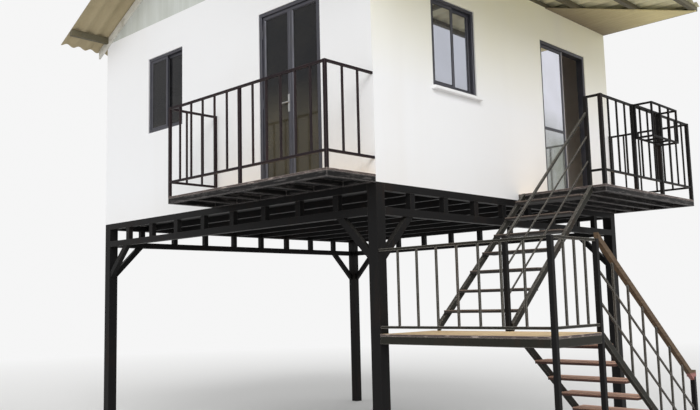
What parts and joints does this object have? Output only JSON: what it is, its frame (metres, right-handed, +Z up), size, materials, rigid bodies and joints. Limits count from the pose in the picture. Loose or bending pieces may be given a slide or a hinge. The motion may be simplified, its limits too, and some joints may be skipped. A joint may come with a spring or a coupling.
{
  "type": "steel frame house on posts",
  "caption": "Small gabled house of white panels, raised on tall steel posts, with a balcony, a porch roof, a dog-leg outside stair and a sliding entrance door.",
  "frame": {"origin": "middle of the whole footprint at ground level", "axes": "+X towards the entrance side with the stair, -Y towards the gable front with the balcony, +Z up"},
  "size_m": [7.07, 5.6, 6.7665],
  "materials": {
    "black_steel": "worn satin paint",
    "white_panel": "smooth satin",
    "gable_panel": "matt",
    "roof_sheet": "weathered",
    "pale_trim": "matt",
    "grey_aluminium": "satin",
    "dark_glazing": "polished",
    "white_sill": "satin",
    "plywood": "weathered",
    "tread_board": "weathered",
    "floor_board": "matt",
    "soffit_board": "stained",
    "roof_steel": "weathered",
    "timber_rail": "weathered"
  },
  "bodies": {
    "house": {"back_gable": "gable_panel", "back_girder": "black_steel", "back_wall": "white_panel", "balcony_deck": "plywood", "balcony_door_frame": "grey_aluminium", "balcony_door_leaves": "dark_glazing", "balcony_frame": "black_steel", "balcony_front_railing": "black_steel", "balcony_side_railings": "black_steel", "corner_posts": "black_steel", "entrance_fixed_leaf": "dark_glazing", "entrance_frame": "grey_aluminium", "floor_joists": "black_steel", "floor_panel": "floor_board", "front_gable": "gable_panel", "front_girder": "black_steel", "front_wall": "white_panel", "half_landing_deck": "plywood", "half_landing_frame": "black_steel", "half_landing_front_railing": "black_steel", "half_landing_legs": "black_steel", "half_landing_side_railing": "black_steel", "knee_braces": "black_steel", "landing_basket": "black_steel", "landing_deck": "plywood", "landing_end_railings": "black_steel", "landing_frame": "black_steel", "landing_outer_railing": "black_steel", "left_girder": "black_steel", "left_wall": "white_panel", "lower_flight_handrail": "timber_rail", "lower_flight_railing": "black_steel", "lower_flight_stringers": "black_steel", "lower_flight_treads": "tread_board", "porch_frame": "roof_steel", "porch_sheets": "roof_sheet", "porch_soffit_board": "soffit_board", "rake_trim": "pale_trim", "ridge_cap": "roof_sheet", "right_girder": "black_steel", "right_wall_back": "white_panel", "right_wall_front": "white_panel", "right_wall_over_door": "white_panel", "roof_left_sheets": "roof_sheet", "roof_purlins": "roof_steel", "roof_right_sheets": "roof_sheet", "stair_newels": "black_steel", "upper_flight_railing": "black_steel", "upper_flight_stringers": "black_steel", "upper_flight_treads": "tread_board", "window_frames": "grey_aluminium", "window_sashes": "dark_glazing", "window_sills": "white_sill"},
    "entrance_leaf": {"entrance_sliding_leaf": "dark_glazing"}
  },
  "joints": [
    {"name": "entrance_leaf_slide", "type": "slide", "parent": "house", "child": "entrance_leaf", "axis": [0, 1, 0], "range_m": [0, 0.5065]}
  ]
}
